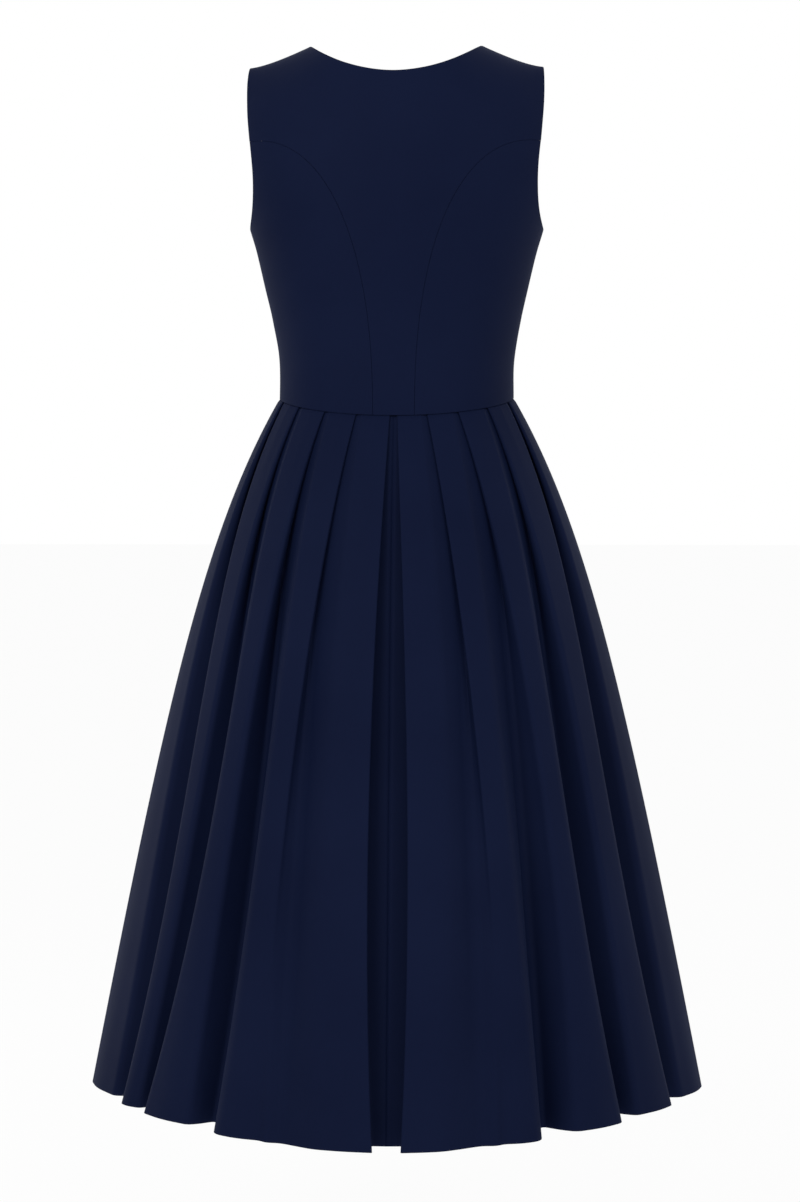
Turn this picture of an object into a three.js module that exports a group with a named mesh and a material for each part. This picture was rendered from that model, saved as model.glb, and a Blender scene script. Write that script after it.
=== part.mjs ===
// A sleeveless dirndl dress as it is worn, hollow: a fitted bodice of seven panels and a full
// skirt of four pleated panels. Millimetres, +Z up. The back of the dress faces -Y and the front
// +Y, and +X is the wearer's right. The origin lies midway between the two shoulder seams, where
// the dress hangs on its wearer.
import * as THREE from "three";

// ---------------------------------------------------------------- driving sizes
const SEAM_GAP = 0.5; // between two panels that are sewn together
const WAIST_GAP = 0.4; // extra drop of the skirt's top edge below the bodice
const BODICE_WALL = 1.6;
const SKIRT_WALL = 1;
const LAYER = 1.65; // from one layer of a folded pleat to the next, middle to middle

const WAIST_Z = -392; // the waist seam at the side
const BACK_DIP = 21; // how far the waist seam drops at the centre back
const FRONT_DIP = 8;
const DIP_POWER = 1.25;
const HEM_Z = -1178;

const WAIST_HALF_WIDTH = 134;
const WAIST_HALF_DEPTH = 98;
const SKIRT_DROP = 786; // waist seam to hem at the side
const SKIRT_MID = 300; // drop of the middle station of the fold table
const FLARE = 0.2; // the skirt's slope near the hem
const SPRING_SIDE = 66; // how far the pleats push the cloth out below the waist
const SPRING_DEPTH = 82;
const SPRING_REACH = 170;
const CORNER_LOSS = 44; // how much flatter than an ellipse the hem is between centre and side

const NECK_HALF = 98; // from the centre to the neck end of the shoulder seam
const NECK_Z = 7;
const BACK_NECK_Z = -32;
const FRONT_NECK_Z = -128;
const TIP_X = 167; // the arm end of the shoulder seam
const TIP_Z = -16;
const SHOULDER_CURVE = 1.4; // over 1, the shoulder line rises more steeply near the neck
const SHOULDER_ROUND = 75; // height over which front and back round into the shoulder seam
const UNDERARM_Z = -199.5;

const RAD = Math.PI / 180;
const lerp = (a, b, s) => a + (b - a) * s;
const clamp = (v, low, high) => Math.min(high, Math.max(low, v));

// The seam at the waist, by the angle from the centre back or centre front in degrees.
const waistZ = (angle, dip) =>
  WAIST_Z - dip * Math.max(0, Math.cos(angle * RAD)) ** DIP_POWER;

// ---------------------------------------------------------------- bodice form
// The form the bodice is cut to: half the width, and the depth behind and before the shoulder
// line, at each height. Above the underarm the width runs on past the armhole's edge.
const FORM = [
  { at: "below waist", z: -420, half: 134.6, back: 98, front: 98 },
  { at: "waist", z: -393, half: 134, back: 98, front: 98 },
  { at: "lower ribs", z: -347, half: 134.6, back: 97.5, front: 103 },
  { at: "ribs", z: -301, half: 142.3, back: 100, front: 113 },
  { at: "under bust", z: -255, half: 153, back: 104.5, front: 126 },
  { at: "bust", z: -225, half: 160, back: 107, front: 132 },
  { at: "underarm", z: UNDERARM_Z, half: 167.6, back: 108, front: 131 },
  { at: "chest", z: -150, half: 180, back: 107, front: 122 },
  { at: "upper chest", z: -100, half: 187, back: 102, front: 109 },
  { at: "blades", z: -50, half: 190, back: 95, front: 97 },
  { at: "neck", z: 20, half: 190, back: 85, front: 82 },
];

// A smooth curve through one column of the form's table.
function formAt(column, z) {
  const last = FORM.length - 1;
  const zz = clamp(z, FORM[0].z, FORM[last].z);
  let i = 0;
  while (i < last - 1 && zz > FORM[i + 1].z) i++;
  const a = FORM[Math.max(0, i - 1)];
  const b = FORM[i];
  const c = FORM[i + 1];
  const d = FORM[Math.min(last, i + 2)];
  const span = c.z - b.z;
  const slopeB = ((c[column] - a[column]) / (c.z - a.z)) * span;
  const slopeC = ((d[column] - b[column]) / (d.z - b.z)) * span;
  const s = (zz - b.z) / span;
  const s2 = s * s;
  const s3 = s2 * s;
  return (
    (2 * s3 - 3 * s2 + 1) * b[column] +
    (s3 - 2 * s2 + s) * slopeB +
    (3 * s2 - 2 * s3) * c[column] +
    (s3 - s2) * slopeC
  );
}

// Height of the shoulder line; inside the neck it runs on upwards, so the form stays open there.
function ridgeZ(x) {
  const out = (TIP_X - Math.abs(x)) / (TIP_X - NECK_HALF);
  const rise = NECK_Z - TIP_Z;
  if (out <= 0) return TIP_Z;
  if (out <= 1) return TIP_Z + rise * out ** SHOULDER_CURVE;
  return NECK_Z + rise * SHOULDER_CURVE * (out - 1);
}

// A point of the bodice's outer side, at a place seen from behind: x and z. side is -1 for the
// back of the dress and 1 for its front.
function bodicePoint(x, z, side) {
  const half = formAt("half", z);
  const depth = formAt(side < 0 ? "back" : "front", z);
  const share = clamp(x / half, -1, 1);
  const up = clamp((ridgeZ(x) - z) / SHOULDER_ROUND, 0, 1);
  const round = Math.sqrt(1 - (1 - up) ** 2);
  const seam = up < 1e-6 ? SEAM_GAP / 2 : 0; // on the shoulder line
  return new THREE.Vector3(x, side * (depth * Math.sqrt(1 - share * share) * round + seam), z);
}

// Out of the form at that place. On the shoulder line itself it points straight up from the line.
function bodiceNormal(x, z, side) {
  const half = formAt("half", z);
  const step = 0.5;
  if (ridgeZ(x) - z < 0.01) {
    const slope = (ridgeZ(x + step) - ridgeZ(x - step)) / (2 * step);
    return new THREE.Vector3(-slope, 0, 1).normalize();
  }
  if (Math.abs(x) > 0.999 * half) {
    const slope = (formAt("half", z + step) - formAt("half", z - step)) / (2 * step);
    return new THREE.Vector3(Math.sign(x), 0, -slope).normalize();
  }
  const dx = Math.min(step, (half - Math.abs(x)) / 2);
  const dz = Math.min(step, (ridgeZ(x) - z) / 2);
  const across = bodicePoint(x + dx, z, side).sub(bodicePoint(x - dx, z, side));
  const up = bodicePoint(x, z + dz, side).sub(bodicePoint(x, z - dz, side));
  const out = across.cross(up).normalize();
  return out.y * side < 0 ? out.negate() : out;
}

// ---------------------------------------------------------------- bodice outlines, in x and z
const bezier = (points) => {
  const [a, b, c, d] = points.map(([x, z]) => new THREE.Vector2(x, z));
  return new THREE.CubicBezierCurve(a, b, c, d);
};

const BACK_SEAM_WAIST = 23.2; // from the centre back to the curved seam, at the waist
const BACK_SEAM_ARM = { x: 164, z: -105 }; // where the curved seam runs into the armhole
const BACK_SEAM_POWER = 2.3;
const FRONT_SEAM_WAIST = 45;
const FRONT_SEAM_ARM = { x: 156, z: -105 };

const angleAt = (x) => Math.asin(clamp(x / WAIST_HALF_WIDTH, -1, 1)) / RAD;

// The back's curved seam is a quarter of a superellipse: upright at the waist, level at the arm.
class CurvedBackSeam extends THREE.Curve {
  getPoint(s, target = new THREE.Vector2()) {
    const low = waistZ(angleAt(BACK_SEAM_WAIST), BACK_DIP);
    const turn = s * 90 * RAD;
    const reach = BACK_SEAM_ARM.x - BACK_SEAM_WAIST;
    const rise = BACK_SEAM_ARM.z - low;
    return target.set(
      BACK_SEAM_ARM.x - reach * Math.cos(turn) ** (2 / BACK_SEAM_POWER),
      low + rise * Math.sin(turn) ** (2 / BACK_SEAM_POWER),
    );
  }
}

const backSeam = new CurvedBackSeam();
const backArmTop = bezier([
  [BACK_SEAM_ARM.x, BACK_SEAM_ARM.z],
  [167, -75],
  [169.5, -40],
  [TIP_X, TIP_Z],
]);
const backArmLow = bezier([
  [BACK_SEAM_ARM.x, BACK_SEAM_ARM.z],
  [160.5, -135],
  [157.5, -174],
  [formAt("half", UNDERARM_Z), UNDERARM_Z],
]);
const frontSeam = bezier([
  [FRONT_SEAM_WAIST, waistZ(angleAt(FRONT_SEAM_WAIST), FRONT_DIP)],
  [60, -330],
  [82, -128],
  [FRONT_SEAM_ARM.x, FRONT_SEAM_ARM.z],
]);
const frontArmTop = bezier([
  [FRONT_SEAM_ARM.x, FRONT_SEAM_ARM.z],
  [155, -78],
  [162, -36],
  [TIP_X, TIP_Z],
]);
const frontArmLow = bezier([
  [FRONT_SEAM_ARM.x, FRONT_SEAM_ARM.z],
  [147, -135],
  [150, -180],
  [formAt("half", UNDERARM_Z), UNDERARM_Z],
]);

// The neck's edge from the centre out to the shoulder line, then along that line to its tip.
class ShoulderLine extends THREE.Curve {
  getPoint(s, target = new THREE.Vector2()) {
    const x = lerp(NECK_HALF, TIP_X, s);
    return target.set(x, ridgeZ(x));
  }
}
const backNeck = bezier([
  [0, BACK_NECK_Z],
  [36, BACK_NECK_Z],
  [74, BACK_NECK_Z + 14],
  [NECK_HALF, NECK_Z],
]);
const frontNeck = bezier([
  [0, FRONT_NECK_Z],
  [62, FRONT_NECK_Z],
  [86, -60],
  [NECK_HALF, NECK_Z],
]);

// ---------------------------------------------------------------- solids from grids
// A closed wall from two grids of points of the same size, the outer one and the inner one.
function wall(outer, inner) {
  const rows = outer.length;
  const columns = outer[0].length;
  const position = [...outer.flat(), ...inner.flat()].flatMap((p) => [p.x, p.y, p.z]);
  const index = [];
  const at = (layer, j, i) => layer * rows * columns + j * columns + i;
  const quad = (a, b, c, d) => index.push(a, b, c, a, c, d);
  for (let j = 0; j < rows - 1; j++)
    for (let i = 0; i < columns - 1; i++) {
      quad(at(0, j, i), at(0, j, i + 1), at(0, j + 1, i + 1), at(0, j + 1, i));
      quad(at(1, j, i), at(1, j + 1, i), at(1, j + 1, i + 1), at(1, j, i + 1));
    }
  for (let i = 0; i < columns - 1; i++) {
    quad(at(0, 0, i), at(1, 0, i), at(1, 0, i + 1), at(0, 0, i + 1));
    quad(at(0, rows - 1, i), at(0, rows - 1, i + 1), at(1, rows - 1, i + 1), at(1, rows - 1, i));
  }
  for (let j = 0; j < rows - 1; j++) {
    quad(at(0, j, 0), at(0, j + 1, 0), at(1, j + 1, 0), at(1, j, 0));
    const end = columns - 1;
    quad(at(0, j, end), at(1, j, end), at(1, j + 1, end), at(0, j + 1, end));
  }
  const geometry = new THREE.BufferGeometry();
  geometry.setAttribute("position", new THREE.Float32BufferAttribute(position, 3));
  geometry.setIndex(index);
  return geometry;
}

// Turns a grid round, so that its faces point out after it has been mirrored.
const turned = (grid) => grid.map((row) => [...row].reverse());

// Moves each edge of a grid that is a seam or meets one inwards, by half the gap.
function drawnIn(grid, edges) {
  const toward = (p, q) => p.add(q.clone().sub(p).setLength(SEAM_GAP / 2));
  const last = grid.length - 1;
  const end = grid[0].length - 1;
  if (edges.bottom) grid[0].forEach((p, i) => toward(p, grid[1][i]));
  if (edges.top) grid[last].forEach((p, i) => toward(p, grid[last - 1][i]));
  if (edges.start) grid.forEach((row) => toward(row[0], row[1]));
  if (edges.end) grid.forEach((row) => toward(row[end], row[end - 1]));
  return grid;
}

// ---------------------------------------------------------------- bodice panels
// A patch between four outlines in x and z: bottom and top run across, start and end run up.
function patch(bottom, top, start, end, across, up) {
  return up.map((v) =>
    across.map((c) => {
      const point = (axis) => {
        const sides = lerp(start(v)[axis], end(v)[axis], c);
        const low = bottom(c)[axis] - lerp(bottom(0)[axis], bottom(1)[axis], c);
        const high = top(c)[axis] - lerp(top(0)[axis], top(1)[axis], c);
        return sides + (1 - v) ** 2 * low + v ** 2 * high;
      };
      return { x: point("x"), z: point("y") };
    }),
  );
}

const flat = (x, y) => ({ x, y });

// Follows the waist seam between two angles.
const waistLine = (from, to, dip) => (c) => {
  const angle = lerp(from, to, c);
  return flat(WAIST_HALF_WIDTH * Math.sin(angle * RAD), waistZ(angle, dip));
};

// Both sides of a panel, from its outline grid. mirror is -1 for the wearer's left.
function panel(outline, side, mirror, edges) {
  const outer = outline.map((row) =>
    row.map(({ x, z }) => bodicePoint(x, z, side).multiply(new THREE.Vector3(mirror, 1, 1))),
  );
  const inner = outline.map((row, j) =>
    row.map(({ x, z }, i) => {
      const out = bodiceNormal(x, z, side).multiply(new THREE.Vector3(mirror, 1, 1));
      return outer[j][i].clone().addScaledVector(out, -BODICE_WALL);
    }),
  );
  drawnIn(outer, edges);
  drawnIn(inner, edges);
  const facesOut = side * mirror < 0;
  return facesOut ? wall(outer, inner) : wall(turned(outer), turned(inner));
}

const ARM_SHARE = 0.82; // share of a centre panel's height that its curved seam takes
const UP_CENTRE = [0, 0.11, 0.22, 0.33, 0.44, 0.54, 0.63, 0.725, 0.82, 0.87, 0.92, 0.96, 0.985, 1];
const ACROSS_CENTRE = [0, 0.14, 0.28, 0.42, 0.56, 0.7, 0.8, 0.9, 1];
const ACROSS_SIDE = [0, 0.125, 0.25, 0.375, 0.5, 0.625, 0.75, 0.875, 1];
// A side panel shares the rows of the centre panel that it is sewn to.
const UP_SIDE = UP_CENTRE.filter((v) => v <= ARM_SHARE).map((v) => v / ARM_SHARE);

// One half of the centre of the back or front, from the centre line out to seam and armhole.
function centreOutline(neck, seam, armTop, neckZ, seamWaist, dip, lead) {
  const low = waistZ(0, dip);
  const peak = 0.7; // place of the neck's end along the top edge
  const shoulder = new ShoulderLine();
  const top = (c) =>
    c < peak ? neck.getPointAt(c / peak) : shoulder.getPointAt((c - peak) / (1 - peak));
  const start = (v) => flat(0, low + (neckZ - low) * (1 - (1 - v) ** lead));
  const end = (v) =>
    v <= ARM_SHARE
      ? seam.getPointAt(v / ARM_SHARE)
      : armTop.getPointAt((v - ARM_SHARE) / (1 - ARM_SHARE));
  const bottom = waistLine(0, angleAt(seamWaist), dip);
  return patch(bottom, top, start, end, ACROSS_CENTRE, UP_CENTRE);
}

const backHalf = centreOutline(
  backNeck,
  backSeam,
  backArmTop,
  BACK_NECK_Z,
  BACK_SEAM_WAIST,
  BACK_DIP,
  1.5,
);
const frontHalf = centreOutline(
  frontNeck,
  frontSeam,
  frontArmTop,
  FRONT_NECK_Z,
  FRONT_SEAM_WAIST,
  FRONT_DIP,
  1.15,
);

// The whole back centre is its right half and that half's mirror image.
const backCentre = backHalf.map((row) => [
  ...row.slice(1).reverse().map(({ x, z }) => ({ x: -x, z })),
  ...row,
]);

const sideSeam = (v) => {
  const z = lerp(WAIST_Z, UNDERARM_Z, v);
  return flat(formAt("half", z), z);
};

function sideOutline(seam, armLow, seamWaist, dip) {
  const bottom = waistLine(angleAt(seamWaist), 90, dip);
  const top = (c) => armLow.getPointAt(c);
  const start = (v) => seam.getPointAt(v);
  return patch(bottom, top, start, sideSeam, ACROSS_SIDE, UP_SIDE);
}

const backSide = sideOutline(backSeam, backArmLow, BACK_SEAM_WAIST, BACK_DIP);
const frontSide = sideOutline(frontSeam, frontArmLow, FRONT_SEAM_WAIST, FRONT_DIP);

// ---------------------------------------------------------------- skirt folds
// Each quarter of the skirt runs from its centre pleat (0 degrees) to the side seam (90 degrees).
// A pleat is a fold edge, the valley behind it, and the crest where the cloth before it turns in.
// edge, crest: degrees round the skirt at the waist, in the middle and at the hem. depth: how far
// the valley goes in. lie: where the valley's floor lies between crest (0) and edge (1); over 1
// it lies under the next fold.
const QUARTERS = [
  {
    name: "skirt_back_right",
    mirror: 1,
    side: -1,
    centre: { edge: [2, 4, 2.6], depth: [22, 27], tuck: [14, 7] },
    folds: [
      { edge: [16.4, 20.3, 20.6], crest: [13.2, 9.5], depth: [11, 9], lie: [0.9, 0.62] },
      { edge: [32.8, 36.2, 35.2], crest: [26.6, 27.2], depth: [20, 44], lie: [0.75, 0.52] },
      { edge: [51.8, 50.6, 50.5], crest: [42.6, 45.2], depth: [24, 36], lie: [0.7, 0.55] },
      { edge: [74, 68, 67.5], crest: [59.6, 61.2], depth: [26, 38], lie: [0.6, 0.5] },
    ],
    trough: [3, 12],
  },
  {
    name: "skirt_back_left",
    mirror: -1,
    side: -1,
    centre: { edge: [2, 4, 2.2], depth: [22, 27], tuck: [14, 7] },
    folds: [
      { edge: [18.6, 22.2, 22.6], crest: [14, 12], depth: [13, 8], lie: [0.9, 0.6] },
      { edge: [36, 36.4, 38.6], crest: [29, 31.4], depth: [26, 36], lie: [0.8, 0.6] },
      { edge: [54.6, 49.8, 53.4], crest: [43.4, 50], depth: [22, 30], lie: [0.7, 0.55] },
      { edge: [75, 66, 64.5], crest: [57, 58.4], depth: [24, 34], lie: [0.6, 0.5] },
    ],
    trough: [3, 13],
  },
  {
    name: "skirt_front_right",
    mirror: 1,
    side: 1,
    centre: { edge: [2, 3.6, 2.4], depth: [21, 26], tuck: [14, 8] },
    folds: [
      { edge: [17.6, 21.5, 21.8], crest: [13.6, 11], depth: [14, 12], lie: [0.88, 0.62] },
      { edge: [34.6, 36.8, 38], crest: [28, 30], depth: [22, 34], lie: [0.78, 0.56] },
      { edge: [53, 51.4, 52.6], crest: [43.6, 46.8], depth: [25, 42], lie: [0.7, 0.52] },
      { edge: [74.4, 67, 66.5], crest: [58.6, 60], depth: [22, 30], lie: [0.62, 0.5] },
    ],
    trough: [3, 10],
  },
  {
    name: "skirt_front_left",
    mirror: -1,
    side: 1,
    centre: { edge: [2, 3.8, 2.6], depth: [21, 26], tuck: [14, 8] },
    folds: [
      { edge: [16.8, 20.6, 20.4], crest: [13, 10], depth: [12, 10], lie: [0.9, 0.6] },
      { edge: [33.6, 35.4, 36], crest: [27, 28], depth: [24, 40], lie: [0.76, 0.54] },
      { edge: [52.4, 50.4, 51.8], crest: [42.4, 45.8], depth: [22, 34], lie: [0.7, 0.55] },
      { edge: [74.6, 67.4, 67], crest: [59, 61], depth: [25, 36], lie: [0.6, 0.5] },
    ],
    trough: [3, 12],
  },
];
const UNDERLAY = 23; // depth of cloth laid under each fold edge at the waist
const UNDERLAY_SIDE = 20; // the same at the pleat nearest the side
const TURN_IN = 8; // before a fold edge at the waist, the cloth starts to pass under it here
const FLOOR_HALF = 4; // half the width of an open valley's floor
const TROUGH_HALF = 9; // degrees from the side seam to the soft trough's brow
const SKIRT_ROWS = [0, 14, 36, 70, 118, 185, 280, 400, 520, 650, SKIRT_DROP];

const halfWidth = (t) =>
  WAIST_HALF_WIDTH + FLARE * t + SPRING_SIDE * (1 - Math.exp(-t / SPRING_REACH));
const halfDepth = (t) =>
  WAIST_HALF_DEPTH + FLARE * t + SPRING_DEPTH * (1 - Math.exp(-t / SPRING_REACH));

// A value at the drop t that runs smoothly through its values at the waist, middle and hem.
function station(waist, middle, hem, t) {
  const m = SKIRT_MID;
  const h = SKIRT_DROP;
  const w0 = ((t - m) * (t - h)) / (m * h);
  const w1 = (t * (t - h)) / (m * (m - h));
  const w2 = (t * (t - m)) / (h * (h - m));
  return w0 * waist + w1 * middle + w2 * hem;
}

// Millimetres along the skirt's outline for one degree, at an angle and drop.
const perDegree = (angle, t) =>
  RAD * Math.hypot(halfWidth(t) * Math.cos(angle * RAD), halfDepth(t) * Math.sin(angle * RAD));

// The folded points of one quarter at a drop t: angle in degrees, and how far inside the outline.
function quarterProfile(quarter, t) {
  const points = [];
  const blend = (angle, states) => {
    const along = station(...states.map(([s]) => s), t);
    const inward = station(...states.map(([, d]) => d), t);
    points.push({ angle: angle + along / perDegree(angle, t), inward });
  };
  const { centre } = quarter;
  const edge0 = station(...centre.edge, t);
  const floor = station(2 * LAYER, ...centre.depth, t);
  points.push({ angle: 0, inward: floor });
  const [tuckMid, tuckHem] = centre.tuck;
  const [deepMid, deepHem] = centre.depth;
  blend(edge0, [[UNDERLAY, 2 * LAYER], [tuckMid, deepMid], [tuckHem - 3, deepHem]]);
  blend(edge0, [[UNDERLAY, LAYER], [tuckMid + 1, deepMid - 8], [tuckHem, deepHem - 9]]);
  blend(edge0, [[0, LAYER], [0.8, 4], [0.8, 4]]);
  blend(edge0, [[0, 0], [0, 0], [0, 0]]);
  let lastEdge = edge0;
  quarter.folds.forEach((fold, k) => {
    const edge = station(...fold.edge, t);
    const scale = perDegree(edge, t);
    const width = fold.crest.map((crest, n) => {
      const drop = n === 0 ? SKIRT_MID : SKIRT_DROP;
      return (fold.edge[n + 1] - crest) * perDegree(edge, drop);
    });
    const under = k === quarter.folds.length - 1 ? UNDERLAY_SIDE : UNDERLAY;
    // A place in the open valley: share runs from the crest (-) or the edge (+) to the floor.
    const spot = (share, down) =>
      width.map((w, n) => {
        const floorAt = (fold.lie[n] - 1) * w;
        const near = share < 0 ? -w : 0;
        const brim = floorAt + Math.sign(share) * FLOOR_HALF;
        return [lerp(near, brim, Math.abs(share)), down * fold.depth[n]];
      });
    const crestAngle = edge + station(-TURN_IN, -width[0], -width[1], t) / scale;
    points.push({ angle: (lastEdge + crestAngle) / 2, inward: 0 });
    blend(edge, [[-TURN_IN, 0.3], [-width[0], 0], [-width[1], 0]]);
    blend(edge, [[0.5, 2 * LAYER], ...spot(-0.5, 0.52)]);
    blend(edge, [[under, 2 * LAYER], ...spot(-1, 1)]);
    blend(edge, [[under, LAYER], ...spot(1, 1)]);
    blend(edge, [[0, LAYER], ...spot(0.45, 0.46)]);
    blend(edge, [[0, 0], [0, 0], [0, 0]]);
    lastEdge = edge;
  });
  const trough = station(0, ...quarter.trough, t);
  points.push({ angle: (lastEdge + 90 - TROUGH_HALF) / 2, inward: 0 });
  points.push({ angle: 90 - TROUGH_HALF, inward: 0.1 * trough });
  points.push({ angle: 90 - TROUGH_HALF / 2, inward: 0.62 * trough });
  points.push({ angle: 90, inward: trough });
  return points;
}

const CORNER_PEAK = 4 / 27; // the highest value of share ** 2 * (1 - share)

// A folded point in plan, before mirroring.
function planPoint({ angle, inward }, t) {
  const a = halfWidth(t);
  const b = halfDepth(t);
  const s = Math.sin(angle * RAD);
  const c = Math.cos(angle * RAD);
  const share = clamp(angle / 90, 0, 1);
  const flatter = (CORNER_LOSS * (t / SKIRT_DROP) * share ** 2 * (1 - share)) / CORNER_PEAK;
  const out = new THREE.Vector2(s / a, c / b).normalize();
  return new THREE.Vector2(a * s, b * c - flatter).addScaledVector(out, -inward);
}

// Moves a line in plan sideways by a distance, keeping its walls parallel at the corners.
function offsetLine(line, distance) {
  const normals = line.slice(1).map((p, i) => {
    const d = p.clone().sub(line[i]).normalize();
    return new THREE.Vector2(-d.y, d.x);
  });
  return line.map((p, i) => {
    const before = normals[Math.max(0, i - 1)];
    const after = normals[Math.min(normals.length - 1, i)];
    const middle = before.clone().add(after);
    const reach = Math.max(middle.lengthSq() / 2, 0.7);
    return p.clone().addScaledVector(middle, distance / reach);
  });
}

function skirtZ(angle, dip, t) {
  return lerp(waistZ(angle, dip) - WAIST_GAP, HEM_Z, t / SKIRT_DROP);
}

function skirtPanel(quarter) {
  const dip = quarter.side < 0 ? BACK_DIP : FRONT_DIP;
  const layers = [1, -1].map((face) =>
    SKIRT_ROWS.map((t) => {
      const profile = quarterProfile(quarter, t);
      const line = offsetLine(profile.map((p) => planPoint(p, t)), (face * SKIRT_WALL) / 2);
      line[0].x = SEAM_GAP / 2;
      line[line.length - 1].y = SEAM_GAP / 2;
      return line.map((p, i) => {
        const z = skirtZ(clamp(profile[i].angle, 0, 90), dip, t);
        return new THREE.Vector3(quarter.mirror * p.x, quarter.side * p.y, z);
      });
    }).reverse(),
  );
  const [outer, inner] = layers;
  const facesOut = quarter.side * quarter.mirror < 0;
  return facesOut ? wall(outer, inner) : wall(turned(outer), turned(inner));
}

// ---------------------------------------------------------------- the dress
const NAVY = 0x11182f;
const bodiceCloth = new THREE.MeshStandardMaterial({ color: NAVY, roughness: 0.85, metalness: 0 });
const skirtCloth = new THREE.MeshStandardMaterial({ color: NAVY, roughness: 0.85, metalness: 0 });

const dress = new THREE.Group();
function add(name, geometry, material) {
  const mesh = new THREE.Mesh(geometry, material);
  mesh.name = name;
  dress.add(mesh);
}

const centreEdges = { bottom: true, start: true, end: true };
add("back_centre", panel(backCentre, -1, 1, { ...centreEdges }), bodiceCloth);
[
  { wearer: "right", mirror: 1 },
  { wearer: "left", mirror: -1 },
].forEach(({ wearer, mirror }) => {
  const sides = { bottom: true, start: true, end: true };
  add(`back_side_${wearer}`, panel(backSide, -1, mirror, sides), bodiceCloth);
  add(`front_centre_${wearer}`, panel(frontHalf, 1, mirror, centreEdges), bodiceCloth);
  add(`front_side_${wearer}`, panel(frontSide, 1, mirror, sides), bodiceCloth);
});
QUARTERS.forEach((quarter) => add(quarter.name, skirtPanel(quarter), skirtCloth));

export default dress;
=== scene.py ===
# A sleeveless navy dirndl, hollow as it is worn, built in the order it is sewn: the back of the
# bodice, its side panels, its front, and then the four pleated panels of the skirt. Metres. The
# back of the dress faces -Y, and the origin lies midway between the shoulder seams.
import math

import bpy
import numpy as np
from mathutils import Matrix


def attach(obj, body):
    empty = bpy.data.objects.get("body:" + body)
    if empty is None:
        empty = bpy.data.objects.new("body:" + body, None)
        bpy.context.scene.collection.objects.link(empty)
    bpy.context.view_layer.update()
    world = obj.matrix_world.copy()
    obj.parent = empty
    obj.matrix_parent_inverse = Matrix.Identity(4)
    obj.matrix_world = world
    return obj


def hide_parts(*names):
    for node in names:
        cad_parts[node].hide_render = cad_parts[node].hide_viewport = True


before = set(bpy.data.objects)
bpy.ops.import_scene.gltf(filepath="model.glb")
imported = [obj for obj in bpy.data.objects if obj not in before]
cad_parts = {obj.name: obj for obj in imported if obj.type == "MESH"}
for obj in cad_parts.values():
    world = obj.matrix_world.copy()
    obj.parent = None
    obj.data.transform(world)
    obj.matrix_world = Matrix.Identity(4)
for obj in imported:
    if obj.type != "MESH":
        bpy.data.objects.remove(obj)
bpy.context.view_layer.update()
bpy.ops.object.select_all(action="DESELECT")

# ---------------------------------------------------------------- camera
# A long lens three metres behind the dress, at the height of the hips. It stands a little to one
# side and looks slightly down, so that the hem shows as a curve.
CAMERA_DISTANCE = 3.0
CAMERA_HEIGHT = -0.472
CAMERA_ASIDE = 0.0038
CAMERA_LENS = 78.2
camera_round = math.radians(2.0)
camera_down = math.radians(2.9)
bpy.ops.object.camera_add(
    location=(
        CAMERA_DISTANCE * math.sin(camera_round) + CAMERA_ASIDE * math.cos(camera_round),
        -CAMERA_DISTANCE * math.cos(camera_round) + CAMERA_ASIDE * math.sin(camera_round),
        CAMERA_HEIGHT,
    ),
    rotation=(math.pi / 2 - camera_down, 0, camera_round),
)
camera = bpy.context.object
camera.data.lens = CAMERA_LENS
bpy.context.scene.camera = camera
bpy.context.scene.view_settings.view_transform = "Standard"

# ---------------------------------------------------------------- studio
# The dress hangs clear of a plain white floor, in front of white, as if an unseen figure wore it.
# To the camera the floor mostly glows, so that it meets the white behind it, and the dress's
# shadow stays faint.
FLOOR_Z = -1.43
FLOOR_GLOW = 0.93
bpy.ops.mesh.primitive_plane_add(size=60, location=(0, 0, FLOOR_Z))
floor = bpy.context.object
floor.name = "studio_floor"
paper = bpy.data.materials.new("white paper floor")
paper.use_nodes = True
nodes = paper.node_tree.nodes
links = paper.node_tree.links
nodes.clear()
paper_out = nodes.new("ShaderNodeOutputMaterial")
paper_mix = nodes.new("ShaderNodeMixShader")
paper_face = nodes.new("ShaderNodeBsdfDiffuse")
paper_face.inputs["Color"].default_value = (0.95, 0.95, 0.95, 1)
paper_glow = nodes.new("ShaderNodeEmission")
paper_rays = nodes.new("ShaderNodeLightPath")
paper_share = nodes.new("ShaderNodeMath")
paper_share.operation = "MULTIPLY"
paper_share.inputs[1].default_value = FLOOR_GLOW
links.new(paper_rays.outputs["Is Camera Ray"], paper_share.inputs[0])
links.new(paper_share.outputs[0], paper_mix.inputs["Fac"])
links.new(paper_face.outputs[0], paper_mix.inputs[1])
links.new(paper_glow.outputs[0], paper_mix.inputs[2])
links.new(paper_mix.outputs[0], paper_out.inputs["Surface"])
floor.data.materials.append(paper)

# The room is even and soft; only what looks straight at it, or mirrors it, sees it full white.
ROOM_LIGHT = 0.62
room = bpy.data.worlds.new("white room")
room.use_nodes = True
bpy.context.scene.world = room
nodes = room.node_tree.nodes
links = room.node_tree.links
room_rays = nodes.new("ShaderNodeLightPath")
room_seen = nodes.new("ShaderNodeMath")
room_seen.operation = "MAXIMUM"
room_through = nodes.new("ShaderNodeMath")
room_through.operation = "MAXIMUM"
room_level = nodes.new("ShaderNodeMapRange")
room_level.inputs["To Min"].default_value = ROOM_LIGHT
room_level.inputs["To Max"].default_value = 1.0
links.new(room_rays.outputs["Is Camera Ray"], room_seen.inputs[0])
links.new(room_rays.outputs["Is Glossy Ray"], room_seen.inputs[1])
links.new(room_seen.outputs[0], room_through.inputs[0])
links.new(room_rays.outputs["Is Transmission Ray"], room_through.inputs[1])
links.new(room_through.outputs[0], room_level.inputs["Value"])
links.new(room_level.outputs["Result"], nodes["Background"].inputs["Strength"])
nodes["Background"].inputs["Color"].default_value = (1, 1, 1, 1)


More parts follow.
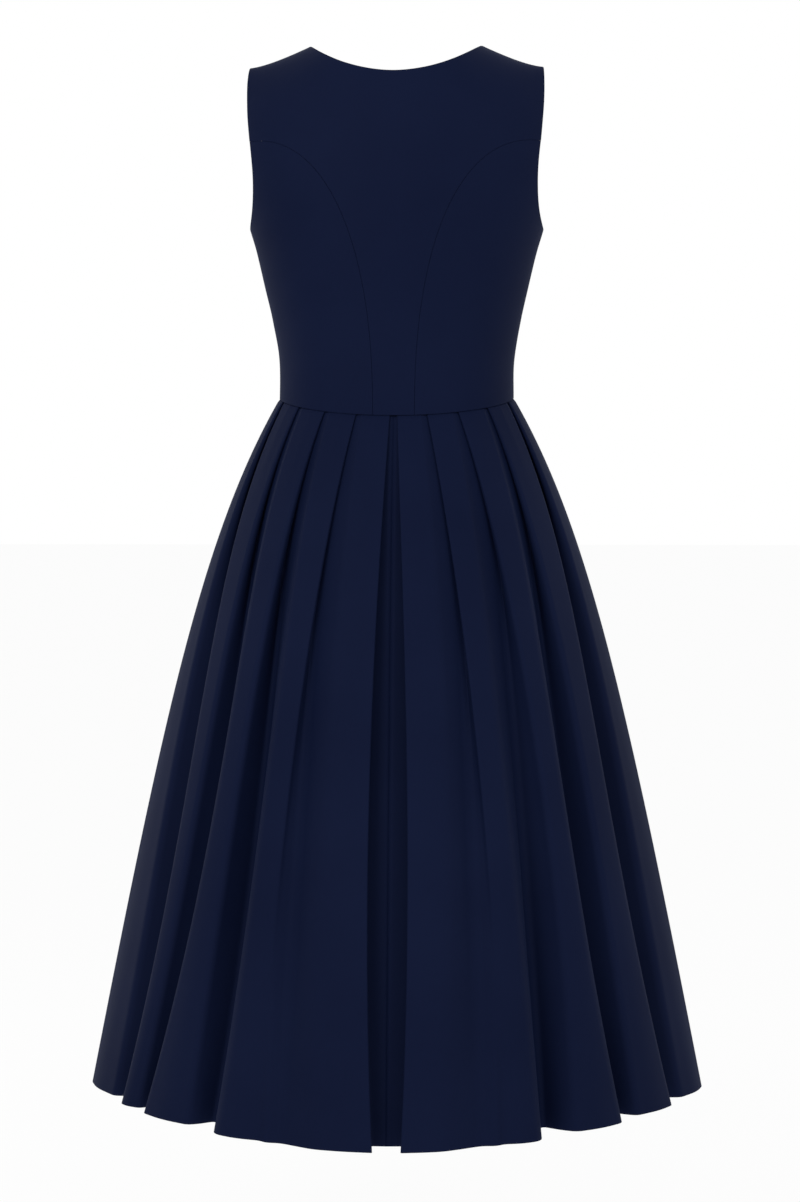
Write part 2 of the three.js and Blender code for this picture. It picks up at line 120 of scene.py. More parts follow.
def softbox(name, place, aim, width, height, watts):
    """A flat studio lamp that faces a point."""
    bpy.ops.object.light_add(type="AREA", location=place)
    lamp = bpy.context.object
    lamp.name = name
    lamp.data.shape = "RECTANGLE"
    lamp.data.size = width
    lamp.data.size_y = height
    lamp.data.energy = watts
    toward = np.array(aim, float) - np.array(place, float)
    turn = math.atan2(-toward[0], toward[1])
    tip = math.atan2(toward[2], math.hypot(toward[0], toward[1]))
    lamp.rotation_euler = (math.pi / 2 + tip, 0, turn)


HIPS = (0, 0, -0.6)
softbox("key_lamp", (-1.5, -2.6, 0.9), HIPS, 1.4, 1.4, 36)
softbox("fill_lamp", (1.9, -2.4, 0.3), HIPS, 1.4, 1.4, 18)
softbox("edge_lamp_left", (-1.9, 1.1, -0.4), HIPS, 0.5, 2.2, 8)
softbox("edge_lamp_right", (1.9, 1.1, -0.4), HIPS, 0.5, 2.2, 6)

# ---------------------------------------------------------------- back of the bodice
# The middle of the back is cut in one piece from navy cotton sateen. It runs from the waist seam
# up to a wide, shallow neckline and out over the shoulder blades to both armholes, and a curved
# seam joins it to each side panel.
BACK, FRONT = -1, 1  # which way along Y a piece faces
BODICE_WALL = 0.0016
SEAM_TURN = 0.0008  # radius at which the cloth turns under at a seam
EDGE_TURN = 0.0012  # and at a finished edge
SEAM_HALF = 0.00015  # half the space left where back and front meet
SWELL = 0.0003  # height of the low swells in the pressed cloth
WAIST_Z = -0.392
BACK_DIP = 0.021  # how far the waist seam drops at the centre back
DIP_POWER = 1.25
WAIST_HALF_WIDTH = 0.134
WAIST_HALF_DEPTH = 0.098
NECK_HALF = 0.098  # from the centre to the neck end of the shoulder seam
NECK_Z = 0.007
BACK_NECK_Z = -0.032
TIP_X = 0.167  # the arm end of the shoulder seam
TIP_Z = -0.016
SHOULDER_CURVE = 1.4
SHOULDER_ROUND = 0.075
UNDERARM_Z = -0.1995
ARM_SHARE = 0.82  # share of a centre panel's height that its curved seam takes
BACK_SEAM_WAIST = 0.0232
BACK_SEAM_ARM = (0.164, -0.105)
BACK_SEAM_POWER = 2.3

# The form that the bodice is cut to: height, half width, depth behind and depth before.
HEIGHT, HALF, BEHIND, BEFORE = range(4)
FORM = np.array([
    (-0.420, 0.1346, 0.0980, 0.0980),  # below the waist
    (-0.393, 0.1340, 0.0980, 0.0980),  # waist
    (-0.347, 0.1346, 0.0975, 0.1030),  # lower ribs
    (-0.301, 0.1423, 0.1000, 0.1130),  # ribs
    (-0.255, 0.1530, 0.1045, 0.1260),  # under the bust
    (-0.225, 0.1600, 0.1070, 0.1320),  # bust
    (UNDERARM_Z, 0.1676, 0.1080, 0.1310),
    (-0.150, 0.1800, 0.1070, 0.1220),  # chest
    (-0.100, 0.1870, 0.1020, 0.1090),  # upper chest
    (-0.050, 0.1900, 0.0950, 0.0970),  # shoulder blades
    (0.020, 0.1900, 0.0850, 0.0820),  # neck
])


def form_at(column, height):
    """One measure of the form at any height, on a smooth curve through its table."""
    levels = FORM[:, HEIGHT]
    values = FORM[:, column]
    before = np.r_[levels[0], levels[:-1]]
    after = np.r_[levels[1:], levels[-1]]
    slopes = (np.r_[values[1:], values[-1]] - np.r_[values[0], values[:-1]]) / (after - before)
    z = np.clip(height, levels[0], levels[-1])
    k = np.clip(np.searchsorted(levels, z, side="right") - 1, 0, len(levels) - 2)
    span = levels[k + 1] - levels[k]
    s = (z - levels[k]) / span
    low = (2 * s**3 - 3 * s**2 + 1) * values[k] + (s**3 - 2 * s**2 + s) * slopes[k] * span
    high = (3 * s**2 - 2 * s**3) * values[k + 1] + (s**3 - s**2) * slopes[k + 1] * span
    return low + high


def ridge_z(x):
    """Height of the shoulder line; inside the neck it runs on upwards."""
    out = (TIP_X - np.abs(x)) / (TIP_X - NECK_HALF)
    rise = NECK_Z - TIP_Z
    on_line = TIP_Z + rise * np.clip(out, 0, 1) ** SHOULDER_CURVE
    return on_line + rise * SHOULDER_CURVE * np.maximum(out - 1, 0)


def on_form(outline, side):
    """Lays a cut outline, x and z, on the back or front of the form."""
    x = outline[..., 0]
    z = outline[..., 1]
    depth = form_at(BEHIND if side == BACK else BEFORE, z)
    share = np.clip(x / form_at(HALF, z), -1, 1)
    up = np.clip((ridge_z(x) - z) / SHOULDER_ROUND, 0, 1)
    reach = depth * np.sqrt(1 - share**2) * np.sqrt(1 - (1 - up) ** 2)
    return np.stack([x, side * (reach + SEAM_HALF), z], axis=-1)


def along(curve):
    """The same curve by share of its length."""
    s = np.linspace(0, 1, 401)
    points = curve(s)
    run = np.r_[0, np.cumsum(np.linalg.norm(np.diff(points, axis=0), axis=1))]
    run /= run[-1]

    def at(share):
        where = np.interp(share, run, s)
        return np.stack([np.interp(where, s, points[:, k]) for k in (0, 1)], axis=-1)

    return at


def bezier(a, b, c, d):
    """A smooth cut line from a to d, pulled towards b and c."""
    def curve(s):
        s = s[:, None]
        ends = (1 - s) ** 3 * np.array(a) + s**3 * np.array(d)
        pulls = 3 * (1 - s) ** 2 * s * np.array(b) + 3 * (1 - s) * s**2 * np.array(c)
        return ends + pulls

    return along(curve)


def waist_z(angle, dip):
    """Height of the waist seam, by degrees from the centre back or front."""
    return WAIST_Z - dip * np.maximum(0, np.cos(np.radians(angle))) ** DIP_POWER


def waist_angle(x):
    return math.degrees(math.asin(x / WAIST_HALF_WIDTH))


def waist_line(start, end, dip):
    """The waist seam between two angles."""
    def at(share):
        angle = start + (end - start) * np.asarray(share)
        return np.stack([WAIST_HALF_WIDTH * np.sin(np.radians(angle)), waist_z(angle, dip)], -1)

    return at


def patch(bottom, top, start, end, across, up):
    """A grid between four cut lines: bottom and top run across, start and end run up."""
    c = across[None, :, None]
    v = up[:, None, None]
    sides = (1 - c) * start(up)[:, None] + c * end(up)[:, None]
    low = bottom(across)[None] - ((1 - c) * bottom(0.0) + c * bottom(1.0))
    high = top(across)[None] - ((1 - c) * top(0.0) + c * top(1.0))
    return sides + (1 - v) ** 2 * low + v**2 * high


def fine_ends(steps, length):
    """Shares of a length, evenly spaced, with narrow steps near both ends for the turned edge."""
    near = np.array([0.0002, 0.0005, 0.0009, 0.0015, 0.0025]) / length
    return np.unique(np.r_[np.linspace(0, 1, steps + 1), near, 1 - near].round(6))


def centre_outline(neck, seam, arm_top, neck_z, seam_waist, dip, lead):
    """One half of the centre of the back or front, from the centre line to seam and armhole."""
    low = waist_z(0, dip)
    peak = 0.7  # place of the neck's end along the top edge

    def shoulder(share):
        x = NECK_HALF + (TIP_X - NECK_HALF) * share
        return np.stack([x, ridge_z(x)], axis=-1)

    def top(share):
        share = np.asarray(share)
        on_neck = neck(np.clip(share / peak, 0, 1))
        on_shoulder = shoulder(np.clip((share - peak) / (1 - peak), 0, 1))
        return np.where((share <= peak)[..., None], on_neck, on_shoulder)

    def start(v):
        return np.stack([0 * v, low + (neck_z - low) * (1 - (1 - v) ** lead)], axis=-1)

    def end(v):
        on_seam = seam(np.clip(v / ARM_SHARE, 0, 1))
        on_arm = arm_top(np.clip((v - ARM_SHARE) / (1 - ARM_SHARE), 0, 1))
        return np.where((v <= ARM_SHARE)[:, None], on_seam, on_arm)

    across = np.unique(np.r_[fine_ends(steps=56, length=0.15), peak])
    lower = fine_ends(steps=110, length=0.4)
    lower = lower[lower < 0.9]  # above this the rows draw together towards the neckline
    upper = 1 - 0.1 * np.linspace(1, 0, 26) ** 2
    up = np.unique(np.r_[lower, ARM_SHARE, upper].round(6))
    bottom = waist_line(0, waist_angle(seam_waist), dip)
    return patch(bottom, top, start, end, across, up)


def grid_normals(points):
    """The way out of a sheet at each of its points."""
    across = np.gradient(points, axis=1)
    up = np.gradient(points, axis=0)
    out = np.cross(across, up)
    return out / np.linalg.norm(out, axis=-1, keepdims=True)


def turn_edges(points, radii):
    """Turns edges of a sheet under. radii names the start, end, bottom and top edges turned."""
    step_across = np.linalg.norm(np.diff(points, axis=1), axis=-1)
    step_up = np.linalg.norm(np.diff(points, axis=0), axis=-1)
    run_across = np.concatenate([np.zeros((len(points), 1)), np.cumsum(step_across, 1)], 1)
    run_up = np.concatenate([np.zeros((1, points.shape[1])), np.cumsum(step_up, 0)], 0)
    runs = {
        "start": run_across,
        "end": run_across[:, -1:] - run_across,
        "bottom": run_up,
        "top": run_up[-1:] - run_up,
    }
    drop = np.zeros(points.shape[:2])
    for edge, radius in radii.items():
        inside = np.clip(radius - runs[edge], 0, radius)
        drop = np.maximum(drop, radius - np.sqrt(radius**2 - inside**2))
    return points - grid_normals(points) * drop[..., None]


def ease(points, amount):
    """The slight unevenness of pressed cloth, in long, low swells across the surface."""
    x, y, z = np.moveaxis(points, -1, 0)
    swell = np.sin(31 * x + 17 * z + 2 * np.sin(23 * y)) * np.sin(27 * z - 19 * y + 0.7)
    small = 0.45 * np.sin(83 * x - 61 * z + 1.1) * np.sin(71 * z + 53 * y)
    return points + grid_normals(points) * (amount * (swell + small))[..., None]


def cloth_sheet(name, points, thickness, offset):
    """A flat grid laid on its form, with its threads' lengths as its UV map, then given its wall."""
    rows, columns = points.shape[:2]
    bpy.ops.object.select_all(action="DESELECT")
    bpy.ops.mesh.primitive_grid_add(
        x_subdivisions=columns - 1, y_subdivisions=rows - 1, size=1, location=(0, 0, 0)
    )
    sheet = bpy.context.object
    sheet.name = name
    mesh = sheet.data
    flat = np.empty(len(mesh.vertices) * 3)
    mesh.vertices.foreach_get("co", flat)
    flat = flat.reshape(-1, 3)
    column = np.rint((flat[:, 0] + 0.5) * (columns - 1)).astype(int)
    row = np.rint((flat[:, 1] + 0.5) * (rows - 1)).astype(int)
    mesh.vertices.foreach_set("co", points[row, column].ravel())
    step_across = np.diff(points, axis=1, prepend=points[:, :1])
    step_up = np.diff(points, axis=0, prepend=points[:1])
    run_across = np.cumsum(np.linalg.norm(step_across, axis=-1), axis=1)
    run_up = np.cumsum(np.linalg.norm(step_up, axis=-1), axis=0)
    corner = np.empty(len(mesh.loops), int)
    mesh.loops.foreach_get("vertex_index", corner)
    middle = run_across[:, columns // 2][row[corner]]
    thread_across = run_across[row[corner], column[corner]] - middle
    threads = np.stack([thread_across, run_up[row[corner], column[corner]]], axis=-1)
    mesh.uv_layers.active.data.foreach_set("uv", threads.ravel())
    mesh.update()
    wall = sheet.modifiers.new("cloth thickness", "SOLIDIFY")
    wall.thickness = thickness
    wall.offset = offset
    bpy.ops.object.modifier_apply(modifier=wall.name)
    bpy.ops.object.shade_smooth()
    return sheet


NAVY = (0.0050, 0.0088, 0.0310)
DEEP_NAVY = (0.0036, 0.0066, 0.0250)


def sateen(name):
    """Navy cotton sateen: fine slanting floats of thread, a soft sheen and slightly uneven dye."""
    cloth = bpy.data.materials.new(name)
    cloth.use_nodes = True
    nodes = cloth.node_tree.nodes
    links = cloth.node_tree.links
    shader = nodes["Principled BSDF"]
    place = nodes.new("ShaderNodeTexCoord")
    dye = nodes.new("ShaderNodeTexNoise")
    dye.inputs["Scale"].default_value = 5
    dye.inputs["Detail"].default_value = 4
    slub_stretch = nodes.new("ShaderNodeMapping")
    slub_stretch.inputs["Scale"].default_value = (900, 60, 1)
    slub = nodes.new("ShaderNodeTexNoise")
    slub.inputs["Scale"].default_value = 1
    slub.inputs["Detail"].default_value = 2
    shade = nodes.new("ShaderNodeMath")
    shade.operation = "MULTIPLY_ADD"
    shade.inputs[1].default_value = 0.3
    tones = nodes.new("ShaderNodeValToRGB")
    tones.color_ramp.elements[0].position = 0.42
    tones.color_ramp.elements[0].color = (*DEEP_NAVY, 1)
    tones.color_ramp.elements[1].position = 0.88
    tones.color_ramp.elements[1].color = (*NAVY, 1)
    links.new(place.outputs["Object"], dye.inputs["Vector"])
    links.new(place.outputs["UV"], slub_stretch.inputs["Vector"])
    links.new(slub_stretch.outputs[0], slub.inputs["Vector"])
    links.new(slub.outputs["Fac"], shade.inputs[0])
    links.new(dye.outputs["Fac"], shade.inputs[2])
    links.new(shade.outputs[0], tones.inputs["Fac"])
    links.new(tones.outputs["Color"], shader.inputs["Base Color"])
    slant = nodes.new("ShaderNodeMapping")
    slant.inputs["Rotation"].default_value = (0, 0, math.radians(63))
    slant.inputs["Scale"].default_value = (1500, 1500, 1)
    floats = nodes.new("ShaderNodeTexWave")
    floats.inputs["Scale"].default_value = 0.32
    floats.inputs["Distortion"].default_value = 1.5
    floats.inputs["Detail"].default_value = 1
    weave = nodes.new("ShaderNodeBump")
    weave.inputs["Strength"].default_value = 0.25
    weave.inputs["Distance"].default_value = 0.00006
    puckers = nodes.new("ShaderNodeBump")
    puckers.inputs["Strength"].default_value = 0.35
    puckers.inputs["Distance"].default_value = 0.0012
    swell = nodes.new("ShaderNodeTexNoise")
    swell.inputs["Scale"].default_value = 14
    swell.inputs["Detail"].default_value = 2
    links.new(place.outputs["UV"], slant.inputs["Vector"])
    links.new(slant.outputs[0], floats.inputs["Vector"])
    links.new(floats.outputs["Fac"], weave.inputs["Height"])
    links.new(place.outputs["Object"], swell.inputs["Vector"])
    links.new(swell.outputs["Fac"], puckers.inputs["Height"])
    links.new(puckers.outputs["Normal"], weave.inputs["Normal"])
    links.new(weave.outputs["Normal"], shader.inputs["Normal"])
    rough = nodes.new("ShaderNodeMapRange")
    rough.inputs["To Min"].default_value = 0.62
    rough.inputs["To Max"].default_value = 0.74
    links.new(slub.outputs["Fac"], rough.inputs["Value"])
    links.new(rough.outputs["Result"], shader.inputs["Roughness"])
    shader.inputs["Specular IOR Level"].default_value = 0.035
    shader.inputs["Sheen Weight"].default_value = 0.03
    shader.inputs["Sheen Roughness"].default_value = 0.3
    shader.inputs["Sheen Tint"].default_value = (0.3, 0.42, 0.9, 1)
    return cloth


bodice_cloth = sateen("navy sateen of the bodice")


def handed(points, mirror, side):
    """Mirrors a sheet for the wearer's left, and keeps its face outwards."""
    placed = points * (mirror, 1, 1)
    return placed[:, ::-1] if side * mirror > 0 else placed


def bodice_panel(name, outline, side, mirror):
    """Lays and finishes one panel. mirror is -1 for the wearer's left, otherwise 1."""
    points = handed(on_form(outline, side), mirror, side)
    points = turn_edges(
        ease(points, SWELL),
        {"start": SEAM_TURN, "end": SEAM_TURN, "bottom": SEAM_TURN, "top": EDGE_TURN},
    )
    panel = cloth_sheet(name + "_cloth", points, BODICE_WALL, -1)
    panel.data.materials.append(bodice_cloth)
    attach(panel, "root")
    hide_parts(name)


back_neck = bezier(
    (0, BACK_NECK_Z), (0.036, BACK_NECK_Z), (0.074, BACK_NECK_Z + 0.014), (NECK_HALF, NECK_Z)
)


def back_seam_curve(s):
    """A quarter of a superellipse: upright at the waist, level where it enters the armhole."""
    low = waist_z(waist_angle(BACK_SEAM_WAIST), BACK_DIP)
    turn = s * math.pi / 2
    reach = BACK_SEAM_ARM[0] - BACK_SEAM_WAIST
    rise = BACK_SEAM_ARM[1] - low
    x = BACK_SEAM_ARM[0] - reach * np.cos(turn).clip(0) ** (2 / BACK_SEAM_POWER)
    z = low + rise * np.sin(turn) ** (2 / BACK_SEAM_POWER)
    return np.stack([x, z], axis=-1)


back_seam = along(back_seam_curve)
back_arm_top = bezier(BACK_SEAM_ARM, (0.167, -0.075), (0.1695, -0.040), (TIP_X, TIP_Z))
half_outline = centre_outline(
    back_neck, back_seam, back_arm_top, BACK_NECK_Z, BACK_SEAM_WAIST, BACK_DIP, 1.5
)
mirrored = half_outline[:, :0:-1] * (-1, 1)
bodice_panel("back_centre", np.concatenate([mirrored, half_outline], axis=1), BACK, 1)

# ---------------------------------------------------------------- side panels of the back
# One panel each side, of the same sateen, fills the space between the curved seam, the armhole
# and the side seam. Its seams are pressed open, so they show as fine lines.
back_arm_low = bezier(
    BACK_SEAM_ARM, (0.1605, -0.135), (0.1575, -0.174), (float(form_at(HALF, UNDERARM_Z)), UNDERARM_Z)
)


def side_seam(v):
    z = WAIST_Z + (UNDERARM_Z - WAIST_Z) * v
    return np.stack([form_at(HALF, z), z], axis=-1)


def side_outline(seam, arm_low, seam_waist, dip):
    """The outline of a side panel, from the curved seam out to the side seam."""
    bottom = waist_line(waist_angle(seam_waist), 90, dip)
    across = fine_ends(steps=70, length=0.16)
    up = fine_ends(steps=90, length=0.28)
    return patch(bottom, arm_low, seam, side_seam, across, up)


back_side = side_outline(back_seam, back_arm_low, BACK_SEAM_WAIST, BACK_DIP)
bodice_panel("back_side_right", back_side, BACK, 1)
bodice_panel("back_side_left", back_side, BACK, -1)

# ---------------------------------------------------------------- front of the bodice
# The front opens down its middle, where hidden hooks hold two panels edge to edge under a round
# neckline. Curved seams shape them over the bust, and two side panels join them to the back.
FRONT_DIP = 0.008
FRONT_NECK_Z = -0.128
FRONT_SEAM_WAIST = 0.045
FRONT_SEAM_ARM = (0.156, -0.105)
front_neck = bezier((0, FRONT_NECK_Z), (0.062, FRONT_NECK_Z), (0.086, -0.060), (NECK_HALF, NECK_Z))
front_seam = bezier(
    (FRONT_SEAM_WAIST, float(waist_z(waist_angle(FRONT_SEAM_WAIST), FRONT_DIP))),
    (0.060, -0.330),
    (0.082, -0.128),
    FRONT_SEAM_ARM,
)
front_arm_top = bezier(FRONT_SEAM_ARM, (0.155, -0.078), (0.162, -0.036), (TIP_X, TIP_Z))
front_arm_low = bezier(
    FRONT_SEAM_ARM, (0.147, -0.135), (0.150, -0.180), (float(form_at(HALF, UNDERARM_Z)), UNDERARM_Z)
)
front_half = centre_outline(
    front_neck, front_seam, front_arm_top, FRONT_NECK_Z, FRONT_SEAM_WAIST, FRONT_DIP, 1.15
)
bodice_panel("front_centre_right", front_half, FRONT, 1)
bodice_panel("front_centre_left", front_half, FRONT, -1)
front_side = side_outline(front_seam, front_arm_low, FRONT_SEAM_WAIST, FRONT_DIP)
bodice_panel("front_side_right", front_side, FRONT, 1)
bodice_panel("front_side_left", front_side, FRONT, -1)

# ---------------------------------------------------------------- skirt
# Four panels of the same sateen, joined at the centre back, centre front and sides. Each is laid
# in knife pleats that face the centre, stitched flat into the waist seam and left to open into
# soft folds towards the hem. At both centres two of them meet over an inverted pleat.
SKIRT_WALL = 0.001
LAYER = 0.00165  # from one layer of a folded pleat to the next
HEM_Z = -1.178
SKIRT_DROP = WAIST_Z - HEM_Z
SKIRT_MID = 0.3  # drop of the middle station of the fold table
FLARE = 0.2
SPRING_SIDE = 0.066  # how far the pleats push the cloth out below the waist
SPRING_DEPTH = 0.082
SPRING_REACH = 0.17  # the drop over which most of that push comes
CORNER_LOSS = 0.044  # how much flatter than an oval the hem is between centre and side
CORNER_PEAK = 4 / 27  # the greatest value of share**2 * (1 - share)
UNDERLAY = 0.023  # depth of cloth laid under each pleat at the waist
UNDERLAY_SIDE = 0.020  # and under the one nearest the side seam
EDGE_OPEN = (0.0008, 0.004)  # shift and depth of the layer behind the inverted pleat's edge
TURN_IN = 0.008  # from a pleat's edge back to its crest at the waist
FLOOR_HALF = 0.004  # half the width of a valley's floor
TROUGH_HALF = 9  # degrees from the side seam to the brow of its soft trough
WAIST_DRAW = 0.0009  # how far the pleats turn in to the waist seam
WAIST_DRAW_REACH = 0.005
CRISP = 0.0007  # radius of a pressed fold at the waist
SOFT = 0.070  # and of the folds it opens into at the hem
CENTRE_SOFT = 0.005  # the two centre folds stay nearly sharp
SOFTENS = 1.2  # how late on its way down a fold softens
CREST = 0.3  # a crest's softness, where the brow beyond its valley has 1
BROW_BACK = 0.007  # how far that brow stands back at the hem
CLOSED_SEAM = 0.000003  # half the space between two skirt panels

# For each pleat: the fold edge at the waist, middle and hem and the crest beyond it at middle and
# hem, in degrees round the skirt; how deep the valley is; and where its floor lies, from the
# crest (0) to the edge (1).
BACK_RIGHT = {
    "name": "skirt_back_right",
    "mirror": 1,
    "side": BACK,
    "centre": {"edge": (2, 4, 2.6), "depth": (0.022, 0.027), "tuck": (0.014, 0.007)},
    "folds": [
        {"edge": (16.4, 20.3, 20.6), "crest": (13.2, 9.5), "depth": (0.011, 0.009), "lie": (0.9, 0.62)},
        {"edge": (32.8, 36.2, 35.2), "crest": (26.6, 27.2), "depth": (0.020, 0.044), "lie": (0.75, 0.52)},
        {"edge": (51.8, 50.6, 50.5), "crest": (42.6, 45.2), "depth": (0.024, 0.036), "lie": (0.7, 0.55)},
        {"edge": (74, 68, 67.5), "crest": (59.6, 61.2), "depth": (0.026, 0.038), "lie": (0.6, 0.5)},
    ],
    "trough": (0.003, 0.012),
}
BACK_LEFT = {
    "name": "skirt_back_left",
    "mirror": -1,
    "side": BACK,
    "centre": {"edge": (2, 4, 2.2), "depth": (0.022, 0.027), "tuck": (0.014, 0.007)},
    "folds": [
        {"edge": (18.6, 22.2, 22.6), "crest": (14, 12), "depth": (0.013, 0.008), "lie": (0.9, 0.6)},
        {"edge": (36, 36.4, 38.6), "crest": (29, 31.4), "depth": (0.026, 0.036), "lie": (0.8, 0.6)},
        {"edge": (54.6, 49.8, 53.4), "crest": (43.4, 50), "depth": (0.022, 0.030), "lie": (0.7, 0.55)},
        {"edge": (75, 66, 64.5), "crest": (57, 58.4), "depth": (0.024, 0.034), "lie": (0.6, 0.5)},
    ],
    "trough": (0.003, 0.013),
}
FRONT_RIGHT = {
    "name": "skirt_front_right",
    "mirror": 1,
    "side": FRONT,
    "centre": {"edge": (2, 3.6, 2.4), "depth": (0.021, 0.026), "tuck": (0.014, 0.008)},
    "folds": [
        {"edge": (17.6, 21.5, 21.8), "crest": (13.6, 11), "depth": (0.014, 0.012), "lie": (0.88, 0.62)},
        {"edge": (34.6, 36.8, 38), "crest": (28, 30), "depth": (0.022, 0.034), "lie": (0.78, 0.56)},
        {"edge": (53, 51.4, 52.6), "crest": (43.6, 46.8), "depth": (0.025, 0.042), "lie": (0.7, 0.52)},
        {"edge": (74.4, 67, 66.5), "crest": (58.6, 60), "depth": (0.022, 0.030), "lie": (0.62, 0.5)},
    ],
    "trough": (0.003, 0.010),
}
FRONT_LEFT = {
    "name": "skirt_front_left",
    "mirror": -1,
    "side": FRONT,
    "centre": {"edge": (2, 3.8, 2.6), "depth": (0.021, 0.026), "tuck": (0.014, 0.008)},
    "folds": [
        {"edge": (16.8, 20.6, 20.4), "crest": (13, 10), "depth": (0.012, 0.010), "lie": (0.9, 0.6)},
        {"edge": (33.6, 35.4, 36), "crest": (27, 28), "depth": (0.024, 0.040), "lie": (0.76, 0.54)},
        {"edge": (52.4, 50.4, 51.8), "crest": (42.4, 45.8), "depth": (0.022, 0.034), "lie": (0.7, 0.55)},
        {"edge": (74.6, 67.4, 67), "crest": (59, 61), "depth": (0.025, 0.036), "lie": (0.6, 0.5)},
    ],
    "trough": (0.003, 0.012),
}


def half_width(t):
    return WAIST_HALF_WIDTH + FLARE * t + SPRING_SIDE * (1 - math.exp(-t / SPRING_REACH))


def half_depth(t):
    return WAIST_HALF_DEPTH + FLARE * t + SPRING_DEPTH * (1 - math.exp(-t / SPRING_REACH))


def station(waist, middle, hem, t):
    """A value at the drop t, on a smooth curve through its values at waist, middle and hem."""
    m = SKIRT_MID
    h = SKIRT_DROP
    at_waist = (t - m) * (t - h) / (m * h)
    at_middle = t * (t - h) / (m * (m - h))
    at_hem = t * (t - m) / (h * (h - m))
    return at_waist * waist + at_middle * middle + at_hem * hem


def per_degree(angle, t):
    """Metres round the skirt for one degree."""
    turn = math.radians(angle)
    return math.radians(math.hypot(half_width(t) * math.cos(turn), half_depth(t) * math.sin(turn)))


def corner(angle, states, softness, t):
    """One corner of the folded cloth: its angle, inward depth and softness (0 sharp, 1 soft). Each
    state is a shift round the skirt and an inward depth: at the waist, the middle and the hem."""
    shift = station(*[state[0] for state in states], t)
    inward = station(*[state[1] for state in states], t)
    return angle + shift / per_degree(angle, t), inward, softness


def centre_corners(centre, t):
    """Half of an inverted pleat, from the seam at its back to the edge that faces the centre."""
    deep_mid, deep_hem = centre["depth"]
    tuck_mid, tuck_hem = centre["tuck"]
    edge = station(*centre["edge"], t)
    floor_end = [(UNDERLAY, 2 * LAYER), (tuck_mid, deep_mid), (tuck_hem - 0.003, deep_hem)]
    turn_back = [
        (UNDERLAY, LAYER),
        (tuck_mid + 0.001, deep_mid - 0.008),
        (tuck_hem, deep_hem - 0.009),
    ]
    corners = [
        (0, station(2 * LAYER, deep_mid, deep_hem, t), 0),
        corner(edge, floor_end, 0.2, t),
        corner(edge, turn_back, 0.2, t),
        corner(edge, [(0, LAYER), EDGE_OPEN, EDGE_OPEN], 0, t),
        corner(edge, [(0, 0), (0, 0), (0, 0)], 0, t),
    ]
    return edge, corners


def spot(fold, widths, share, down):
    """A place in an open valley, from its crest (-1) or its edge (1) to the floor."""
    places = []
    for n, w in enumerate(widths):
        near = -w if share < 0 else 0
        brim = (fold["lie"][n] - 1) * w + math.copysign(FLOOR_HALF, share)
        places.append((near + (brim - near) * abs(share), down * fold["depth"][n]))
    return places


def pleat_corners(fold, under, last_edge, t):
    """One knife pleat: its flat face, the crest beyond it, the valley and the next fold edge."""
    edge = station(*fold["edge"], t)
    widths = [
        (fold["edge"][n + 1] - fold["crest"][n]) * per_degree(edge, drop)
        for n, drop in enumerate((SKIRT_MID, SKIRT_DROP))
    ]
    crest = edge + station(-TURN_IN, -widths[0], -widths[1], t) / per_degree(edge, t)
    corners = [
        ((last_edge + crest) / 2, 0, 1),
        corner(edge, [(-TURN_IN, 0.0003), (-widths[0], 0), (-widths[1], 0)], CREST, t),
        corner(edge, [(0.0005, 2 * LAYER), *spot(fold, widths, -0.5, 0.52)], 1, t),
        corner(edge, [(under, 2 * LAYER), *spot(fold, widths, -1, 1)], 1, t),
        corner(edge, [(under, LAYER), *spot(fold, widths, 1, 1)], 1, t),
        corner(edge, [(0, LAYER), *spot(fold, widths, 0.45, 0.46)], 1, t),
        corner(edge, [(0, 0), (0, 0), (0, BROW_BACK)], 1, t),
    ]
    return edge, corners


def fold_corners(panel, t):
    """The folded cloth of a panel at a drop t, corner by corner from its centre to its side."""
    last_edge, corners = centre_corners(panel["centre"], t)
    for fold in panel["folds"]:
        under = UNDERLAY_SIDE if fold is panel["folds"][-1] else UNDERLAY
        last_edge, pleat = pleat_corners(fold, under, last_edge, t)
        corners += pleat
    trough = station(0, *panel["trough"], t)
    corners.append(((last_edge + 90 - TROUGH_HALF) / 2, 0, 1))
    corners.append((90 - TROUGH_HALF, 0.1 * trough, 1))
    corners.append((90 - TROUGH_HALF / 2, 0.62 * trough, 1))
    corners.append((90, trough, 1))
    return corners


def in_plan(angle, inward, t):
    """Where a corner of the folded cloth lies, seen from above."""
    a = half_width(t)
    b = half_depth(t)
    turn = math.radians(angle)
    share = min(1, max(0, angle / 90))
    flatter = CORNER_LOSS * (t / SKIRT_DROP) * share**2 * (1 - share) / CORNER_PEAK
    out = np.array([math.sin(turn) / a, math.cos(turn) / b])
    out /= np.linalg.norm(out)
    draw = WAIST_DRAW * max(0, 1 - t / WAIST_DRAW_REACH) ** 2
    return np.array([a * math.sin(turn), b * math.cos(turn) - flatter]) - out * (inward + draw)


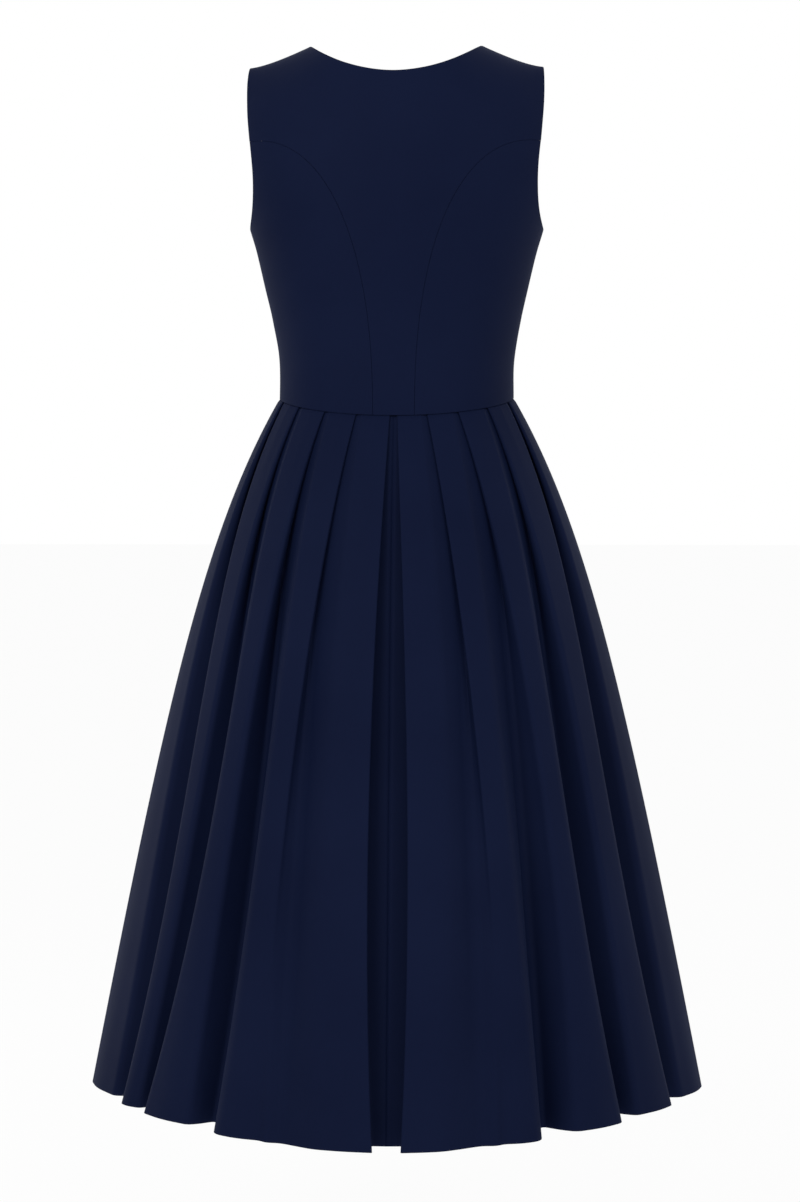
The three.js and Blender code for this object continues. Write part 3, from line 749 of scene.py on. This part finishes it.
def rounded(line, radii, bend_steps=6, straight_steps=4):
    """Rounds the corners of a line. Returns its points and, for each, its place along the corners."""
    points = [line[0]]
    places = [0.0]
    last = line[0]
    last_place = 0.0
    for i in range(1, len(line)):
        final = i == len(line) - 1
        before = line[i] - line[i - 1]
        reach = np.linalg.norm(before)
        if final:
            start, start_place = line[i], float(i)
        else:
            after = line[i + 1] - line[i]
            beyond = np.linalg.norm(after)
            cut = min(radii[i], 0.48 * reach, 0.48 * beyond)
            start, start_place = line[i] - before * cut / reach, i - cut / reach
        for s in np.linspace(0, 1, straight_steps + 2)[1:]:
            points.append(last + (start - last) * s)
            places.append(last_place + (start_place - last_place) * s)
        if final:
            break
        stop, stop_place = line[i] + after * cut / beyond, i + cut / beyond
        for s in np.linspace(0, 1, bend_steps + 1)[1:]:
            points.append((1 - s) ** 2 * start + 2 * s * (1 - s) * line[i] + s**2 * stop)
            places.append(start_place + (stop_place - start_place) * s)
        last, last_place = stop, stop_place
    return np.array(points), np.array(places)


def skirt_points(panel):
    """The middle of the cloth of one panel, hem first, as rows of points."""
    dip = BACK_DIP if panel["side"] == BACK else FRONT_DIP
    near_waist = np.array([0, 0.001, 0.002, 0.0035, 0.005, 0.008, 0.012])
    drops = np.r_[near_waist, np.linspace(0.018, SKIRT_DROP - 0.003, 96), SKIRT_DROP - 0.001, SKIRT_DROP]
    rows = []
    for t in drops[::-1]:
        corners = fold_corners(panel, t)
        line = np.array([in_plan(angle, inward, t) for angle, inward, _ in corners])
        line[0, 0] = CLOSED_SEAM
        line[-1, 1] = CLOSED_SEAM
        share = t / SKIRT_DROP
        radii = [
            CRISP + (CENTRE_SOFT + (SOFT - CENTRE_SOFT) * softness) * share**SOFTENS
            for _, _, softness in corners
        ]
        plan, places = rounded(line, radii)
        angles = np.interp(places, range(len(corners)), [angle for angle, _, _ in corners])
        angles = np.clip(angles, 0, 90)
        top = waist_z(angles, dip) - 0.0003
        z = top + (HEM_Z - top) * share
        x = plan[:, 0] * panel["mirror"]
        y = plan[:, 1] * panel["side"]
        rows.append(np.stack([x, y, z], axis=-1))
    points = np.array(rows)
    return points[:, ::-1] if panel["side"] * panel["mirror"] > 0 else points


skirt_cloth = sateen("navy sateen of the skirt")
for panel in (BACK_RIGHT, BACK_LEFT, FRONT_RIGHT, FRONT_LEFT):
    points = skirt_points(panel)
    skirt = cloth_sheet(panel["name"] + "_cloth", points, SKIRT_WALL, 0)
    skirt.data.materials.append(skirt_cloth)
    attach(skirt, "root")
    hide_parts(panel["name"])
